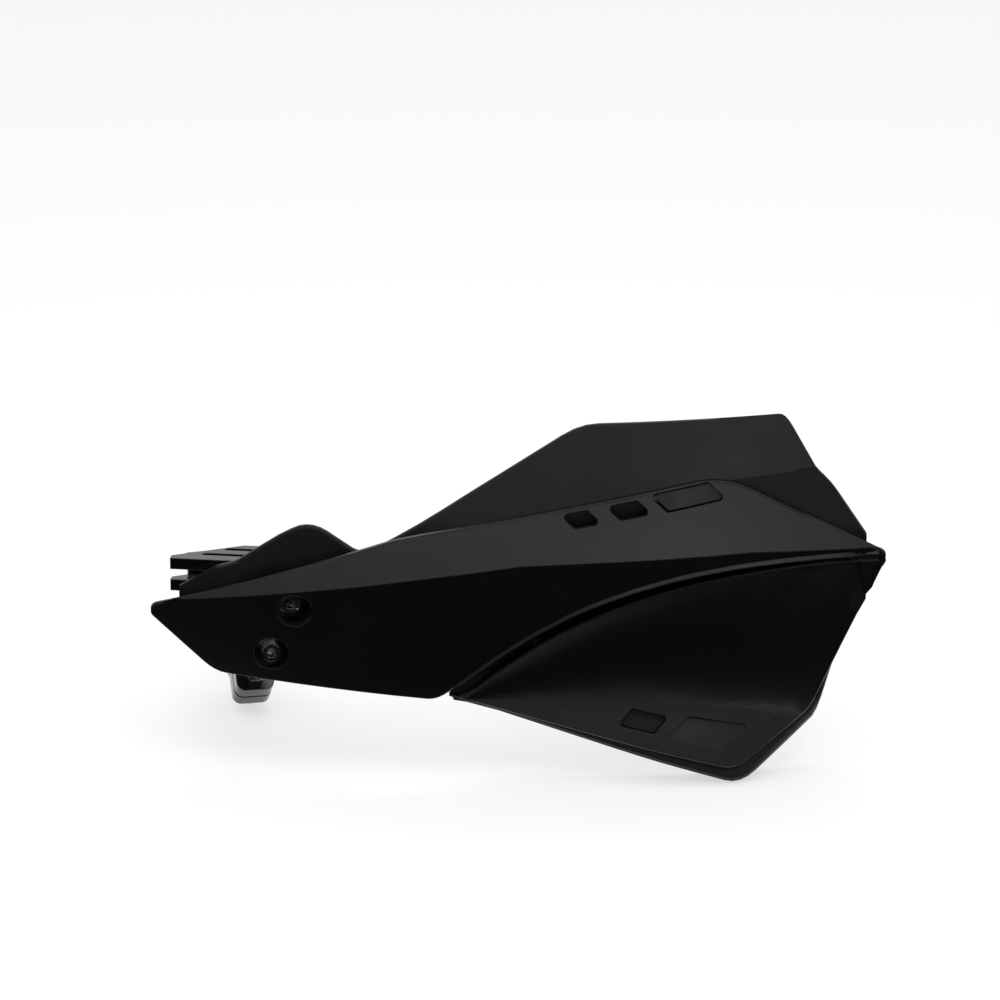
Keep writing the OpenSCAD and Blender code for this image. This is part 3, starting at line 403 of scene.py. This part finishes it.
class HandGuardStage(bpy.types.PropertyGroup):
    """Camera, floor and lamps."""

    elevation: bpy.props.FloatProperty(
        name="Camera elevation", description="How far the camera looks down",
        default=math.radians(18), min=0.0, max=1.5, subtype="ANGLE")
    floor_colour: bpy.props.StringProperty(
        name="Floor colour", description="sRGB hex colour of floor and backdrop", default="#ffffff")
    key_light: bpy.props.FloatProperty(
        name="Top soft box", description="Brightness of the wide soft box above", default=1.45,
        min=0.0)
    side_light: bpy.props.FloatProperty(
        name="Right soft box", description="Brightness of the smaller soft box on the right",
        default=7.0, min=0.0)
    low_light: bpy.props.FloatProperty(
        name="Low soft box", description="Brightness of the soft box low on the right",
        default=2.8, min=0.0)
    back_light: bpy.props.FloatProperty(
        name="Back strip box", description="Brightness of the strip box high behind the guard",
        default=3.0, min=0.0)


# ---------------------------------------------------------------- folds, flats and rims

# Folds of the two mouldings, in millimetres and degrees: the line in X and Z, and on each side
# how the face turns to the right and tilts up at the stations, and how far the flat side reaches.
RAIL_FOLD = {
    "line": ((-28.4, 50.7), (125.5, 74.0), (227.1, 79.0), (281.0, 77.8)),
    "stations": (-16, 11, 29, 51, 73, 95, 125, 178, 213, 244, 280),
    "above": ((-15, -15, -15, -14, -10, -7, -3, 1, 6, 11, 14),
              (34, 35, 36, 37, 38, 39, 39, 39, 39, 39, 38), 14),
    "below": ((-17, -12, -9, -7, -4, -2, 0, 2, 6, 11, 15),
              (-10, -10, -10, -10, -11, -11, -10, -10, -9, -10, -10), 9),
}
SHELL_FOLD = {
    "line": ((216.3, 104.1), (262.0, 108.9)),
    "stations": (216, 231, 262),
    "above": ((2, 5, 7), (32, 32, 32), 60),
    "below": ((9, 10, 12), (10, 10, 10), 60),
}
# Mouths of the two bolt wells, in X and Z, and the radius of their raised rims
WELLS = ((26.2, 49.9), (15.7, 27.9))
WELL_RIM = 7.75
# Flat zones: the box they fill, in millimetres, how they face, the most that a face there may be
# turned back to count, and the length over which the zone fades out before its far X.
# The flat of the cover's outer tip, which runs on from the lower panel
TIP_FLAT = {
    "within": ((271.5, 290.0), (-112.0, -90.0), (46.0, 72.35)),
    "facing": (0.225, -0.927, -0.300),
    "front": 0.3,
    "fade": 1.0,
}
# The light facet of the shell's ear beside the rail's inner end
EAR_FLAT = {
    "within": ((-32.0, 26.0), (-116.0, -70.0), (46.0, 82.0)),
    "facing": (-0.205, -0.966, 0.156),
    "front": -0.5,
    "fade": 40.0,
}
# Lower edge of the raised sweep above the air slot, in X and Z
SWEEP_EDGE = ((94, 10.5), (100, 16.0), (120, 31.5), (140, 44.5), (160, 54.75), (180, 62.5),
              (200, 68.0), (220, 71.5), (240, 73.75), (260, 74.5), (272, 74.5))


# ---------------------------------------------------------------- pieces

class HANDGUARD_OT_front_cover(bpy.types.Operator):
    """Finish the front cover as a satin-gloss moulding"""

    bl_idname = "handguard.front_cover"
    bl_label = "Front cover"

    def execute(self, context):
        look = context.scene.hand_guard_finish
        gloss = moulded_nylon("cover_nylon", look.cover_colour, look.cover_roughness,
                              look.specular, 0.25, edge=look.edge_round)
        cover = moulded_copy("front_cover", "cover_moulding", gloss, grid=6.0,
                             reach=6.0, folds=(RAIL_FOLD,), shaping=level_tip, flat=TIP_FLAT)
        self.beads(cover, gloss)
        self.well_rims(cover, gloss)
        return {"FINISHED"}

    def well_rims(self, cover, material):
        """Fine raised rims round the mouths of the two bolt wells."""
        front = front_probe(cover.data)
        steps, in_well = 48, 3
        for name, x, z in (("well_rim_upper", *WELLS[0]), ("well_rim_lower", *WELLS[1])):
            around = []
            for step in range(steps):
                turn = 2 * math.pi * step / steps
                at_x, at_z = x + WELL_RIM * math.cos(turn), z + WELL_RIM * math.sin(turn)
                around.append((at_x, front(at_x, at_z) or PROBE_FROM, at_z))
            middle = sorted(y for _, y, _ in around)[steps // 2]
            tube(name, [(at_x, y if abs(y - middle) < in_well else middle, at_z)
                        for at_x, y, at_z in around], 0.3, 2, material, closed=True)

    def beads(self, cover, material):
        """Rolled rim on the sweep's edge, and a thin bead on the lower panel's upper lip."""
        front = front_probe(cover.data)
        upper, lower = [], []
        for x in (*range(98, 272, 6), 271):
            column = [(z / 4, front(x, z / 4)) for z in range(-40, 340)]
            # the slot is the first gap, or the first deep drop, above the panel
            for (z0, y0), (z1, y1) in zip(column, column[1:]):
                if y0 is not None and (y1 is None or y1 - y0 > 6) and z0 > 2:
                    lower.append((x, min(y0, front(x, z0 - 1.5) or y0), z0))
                    break
            # the sweep's edge is the last place on its face, going down
            z = np.interp(x, *zip(*SWEEP_EDGE)) + 5
            y = front(x, z)
            while y is not None:
                last, y = (x, y, z), front(x, z - 0.25)
                if y is None or y - last[1] > 1.5:
                    upper.append((x, min(last[1], front(x, last[2] + 2) or last[1]), last[2]))
                    break
                z -= 0.25
        # past the slot's end both run on along the groove in the tip
        for x in (276, 280, 283.5):
            upper.append((x, front(x, 75.0) or upper[-1][1], 74.6))
            lower.append((x, front(x, 71.9) or lower[-1][1], 72.2))
        self.rolled_rim(upper, material)
        tube("lip_bead", [(x, y, z - 0.5) for x, y, z in lower], 0.55, 3, material)

    def rolled_rim(self, line, material):
        """The sweep's rolled rim: a low ridge along its edge, with a flat upper side."""
        # the section's corners, as Y and Z from the edge
        section = ((0.35, 2.1), (-0.15, 1.75), (-1.15, 0.35), (-1.15, -0.1), (0.35, -0.25))
        points, faces = [], []
        for x, y, z in line:
            points += [(x * MM, (y + dy) * MM, (z + dz) * MM) for dy, dz in section]
        size = len(section)
        for i in range(len(line) - 1):
            for k in range(size):
                a, b = i * size + k, i * size + (k + 1) % size
                faces.append((a, b, b + size, a + size))
        faces += [tuple(range(size)), tuple(range(len(points) - size, len(points)))]
        mesh = bpy.data.meshes.new("sweep_bead")
        mesh.from_pydata(points, [], faces)
        rim = bpy.data.objects.new("sweep_bead", mesh)
        bpy.context.scene.collection.objects.link(rim)
        pick(rim)
        bpy.ops.object.mode_set(mode="EDIT")
        bpy.ops.mesh.select_all(action="SELECT")
        bpy.ops.mesh.normals_make_consistent(inside=False)
        bpy.ops.object.mode_set(mode="OBJECT")
        bpy.ops.object.shade_smooth_by_angle(angle=math.radians(25))
        finish_piece(rim, material)


class HANDGUARD_OT_rear_shell(bpy.types.Operator):
    """Finish the rear shell as a fine-grained moulding"""

    bl_idname = "handguard.rear_shell"
    bl_label = "Rear shell"

    def execute(self, context):
        look = context.scene.hand_guard_finish
        grained = moulded_nylon("shell_nylon", look.shell_colour, look.shell_roughness,
                                look.specular * 0.72, 0.2, edge=look.edge_round, grain=0.5)
        moulded_copy("rear_shell", "shell_moulding", grained, grid=6.0,
                     reach=6.0, folds=(SHELL_FOLD,), flat=EAR_FLAT)
        return {"FINISHED"}


class HANDGUARD_OT_badge_pad(bpy.types.Operator):
    """Finish the bare pad in the top rail"""

    bl_idname = "handguard.badge_pad"
    bl_label = "Badge pad"

    def execute(self, context):
        look = context.scene.hand_guard_finish
        matt = moulded_nylon("pad_nylon", look.shell_colour, 0.42, look.specular * 0.8, 0.2,
                             grain=0.6, mottle_mm=9, mottled=0.2)
        moulded_copy("badge_pad", "bare_pad", matt, shaping=self.open_gap)
        return {"FINISHED"}

    def open_gap(self, mesh):
        """Draws the pad in by half a millimetre below and on its left, where its gap shows."""
        gap = 0.55
        low = [min(v.co[axis] for v in mesh.vertices) for axis in (0, 2)]
        high = [max(v.co[axis] for v in mesh.vertices) for axis in (0, 2)]
        for v in mesh.vertices:
            for axis, near, far in ((0, low[0], high[0]), (2, low[1], high[1])):
                v.co[axis] += gap * MM * (far - v.co[axis]) / (far - near)


class HANDGUARD_OT_bracket(bpy.types.Operator):
    """Finish the bracket and the clamp cap"""

    bl_idname = "handguard.bracket"
    bl_label = "Bracket and clamp"

    def execute(self, context):
        look = context.scene.hand_guard_finish
        gloss = moulded_nylon("bracket_nylon", look.cover_colour, 0.14, 0.5, 0.2,
                              edge=look.edge_round)
        for node in ("bracket_arm", "clamp_cap"):
            moulded_copy(node, node + "_moulding", gloss, grid=5.0)
        rubber = soft_rubber("sleeve_rubber", "#161616")
        for node in ("bar_sleeve_front", "bar_sleeve_rear"):
            moulded_copy(node, node + "_moulding", rubber)
        return {"FINISHED"}


class HANDGUARD_OT_hardware(bpy.types.Operator):
    """Finish the bolts, washers, nuts, inserts and screws"""

    bl_idname = "handguard.hardware"
    bl_label = "Hardware"

    def execute(self, context):
        finish = {
            "black_steel": hardware_metal("black_oxide_steel", "#77777b", 0.2),
            "zinc_steel": hardware_metal("zinc_plated_steel", "#b4b6b8", 0.3),
            "insert_brass": hardware_metal("turned_brass", "#b08a48", 0.32),
        }
        for part in frame["record"]["subparts"]:
            material = finish.get(part["material_slot"])
            if material:
                moulded_copy(part["node"], part["node"] + "_turned", material)
        return {"FINISHED"}


# ---------------------------------------------------------------- stage

def seen_directly(tree):
    """1 for what is seen straight, in gloss or through glass, and 0 for what lights the guard."""
    path = add_node(tree, "ShaderNodeLightPath")
    seen = path.outputs["Is Camera Ray"]
    for ray in ("Is Glossy Ray", "Is Transmission Ray"):
        seen = add_node(tree, "ShaderNodeMath", {"operation": "MAXIMUM"},
                        {0: seen, 1: path.outputs[ray]}).outputs[0]
    return seen


class HANDGUARD_OT_stage(bpy.types.Operator):
    """Set up the floor, the lamps, the world and the camera"""

    bl_idname = "handguard.stage"
    bl_label = "Stage"

    def execute(self, context):
        stage = context.scene.hand_guard_stage
        low = min(corner[2] for corner in CAD_BOX)
        centre = Vector((0.124, -0.1, 0.05))

        # plain white floor, which keeps a share of the guard's shadow
        bpy.ops.object.select_all(action="DESELECT")
        bpy.ops.mesh.primitive_plane_add(size=8, location=(centre.x, centre.y, low))
        floor = context.object
        floor.name = "studio_floor"
        material, tree = new_material("white_floor")
        plain = add_node(tree, "ShaderNodeBsdfDiffuse", None, {"Color": linear(stage.floor_colour)})
        glow = add_node(tree, "ShaderNodeEmission", None,
                        {"Color": linear(stage.floor_colour), "Strength": 1.0})
        share = add_node(tree, "ShaderNodeMath", {"operation": "MULTIPLY"},
                         {0: seen_directly(tree), 1: 0.6})
        mixed = add_node(tree, "ShaderNodeMixShader", None,
                         {0: share.outputs[0], 1: plain.outputs[0], 2: glow.outputs[0]})
        add_node(tree, "ShaderNodeOutputMaterial", None, {"Surface": mixed.outputs[0]})
        floor.data.materials.append(material)

        # world: white behind, an even soft fill on the object
        world = bpy.data.worlds.new("studio")
        context.scene.world = world
        world.use_nodes = True
        tree = world.node_tree
        tree.nodes.clear()
        fill, white = (add_node(tree, "ShaderNodeBackground", None,
                                {"Color": linear("#ffffff"), "Strength": strength})
                       for strength in (0.75, 1.0))
        mixed = add_node(tree, "ShaderNodeMixShader", None,
                         {0: seen_directly(tree), 1: fill.outputs[0], 2: white.outputs[0]})
        add_node(tree, "ShaderNodeOutputWorld", None, {"Surface": mixed.outputs[0]})

        # lamps, each by its direction from the guard, its distance, size and brightness:
        # a wide soft box above, small ones high and low on the right, a strip box behind
        for name, turn, rise, far, wide, deep, glow in (
            ("top_softbox", -3, 70, 1.2, 1.5, 0.8, stage.key_light),
            ("right_softbox", 16, 47, 1.3, 0.3, 0.3, stage.side_light),
            ("low_softbox", 30, 2, 1.3, 0.4, 0.35, stage.low_light),
            ("back_softbox", 180, 62, 1.2, 0.9, 0.25, stage.back_light),
        ):
            turn, rise = math.radians(turn), math.radians(rise)
            away = Vector((math.sin(turn) * math.cos(rise), -math.cos(turn) * math.cos(rise),
                           math.sin(rise)))
            bpy.ops.object.light_add(type="AREA", location=centre + away * far)
            lamp = context.object
            lamp.name = name
            lamp.data.shape = "RECTANGLE"
            lamp.data.size = wide
            lamp.data.size_y = deep
            lamp.data.energy = glow * math.pi * wide * deep
            lamp.rotation_euler = away.to_track_quat("Z", "Y").to_euler()

        # black cloth before the guard, out of the camera's sight, which its dark faces mirror
        bpy.ops.object.select_all(action="DESELECT")
        bpy.ops.mesh.primitive_plane_add(size=1, location=(0, 0, 0))
        cloth = context.object
        cloth.name = "black_cloth"
        near_y, long, wide, lift = -0.13, 1.7, 3.0, 0.002
        for v in cloth.data.vertices:
            v.co = Vector((centre.x + v.co.x * wide, near_y - (0.5 - v.co.y) * long, low + lift))
        material, tree = new_material("black_cloth")
        nap = add_node(tree, "ShaderNodeBsdfDiffuse", None, {"Color": linear("#020202")})
        add_node(tree, "ShaderNodeOutputMaterial", None, {"Surface": nap.outputs[0]})
        cloth.data.materials.append(material)
        cloth.visible_camera = False
        cloth.visible_diffuse = False
        cloth.visible_shadow = False

        # camera with a long lens, at the photograph's height
        bpy.ops.object.camera_add(location=(0.116794, -2.637553, 0.9220),
                                  rotation=(math.radians(90) - stage.elevation, 0, 0))
        camera = context.object
        camera.data.sensor_width = 36
        camera.data.lens = 218.466
        context.scene.camera = camera
        context.scene.view_settings.view_transform = "Standard"
        return {"FINISHED"}


class HANDGUARD_PT_panel(bpy.types.Panel):
    """The hand guard's steps in the sidebar"""

    bl_idname = "HANDGUARD_PT_panel"
    bl_label = "Hand Guard"
    bl_space_type = "VIEW_3D"
    bl_region_type = "UI"
    bl_category = "Hand Guard"

    def draw(self, context):
        layout = self.layout
        for group in (context.scene.hand_guard_finish, context.scene.hand_guard_stage):
            box = layout.box()
            for name in group.__annotations__:
                box.prop(group, name)
        for step in STEPS:
            layout.operator(step.bl_idname)


STEPS = (
    HANDGUARD_OT_front_cover,
    HANDGUARD_OT_rear_shell,
    HANDGUARD_OT_badge_pad,
    HANDGUARD_OT_bracket,
    HANDGUARD_OT_hardware,
    HANDGUARD_OT_stage,
)
CLASSES = (HandGuardFinish, HandGuardStage) + STEPS + (HANDGUARD_PT_panel,)


def register():
    for cls in CLASSES:
        bpy.utils.register_class(cls)
    bpy.types.Scene.hand_guard_finish = bpy.props.PointerProperty(type=HandGuardFinish)
    bpy.types.Scene.hand_guard_stage = bpy.props.PointerProperty(type=HandGuardStage)


def unregister():
    del bpy.types.Scene.hand_guard_stage
    del bpy.types.Scene.hand_guard_finish
    for cls in reversed(CLASSES):
        bpy.utils.unregister_class(cls)


def main():
    """Builds every piece in order."""
    register()
    bpy.ops.handguard.front_cover()
    bpy.ops.handguard.rear_shell()
    bpy.ops.handguard.badge_pad()
    bpy.ops.handguard.bracket()
    bpy.ops.handguard.hardware()
    bpy.ops.handguard.stage()


if __name__ == "__main__":
    main()
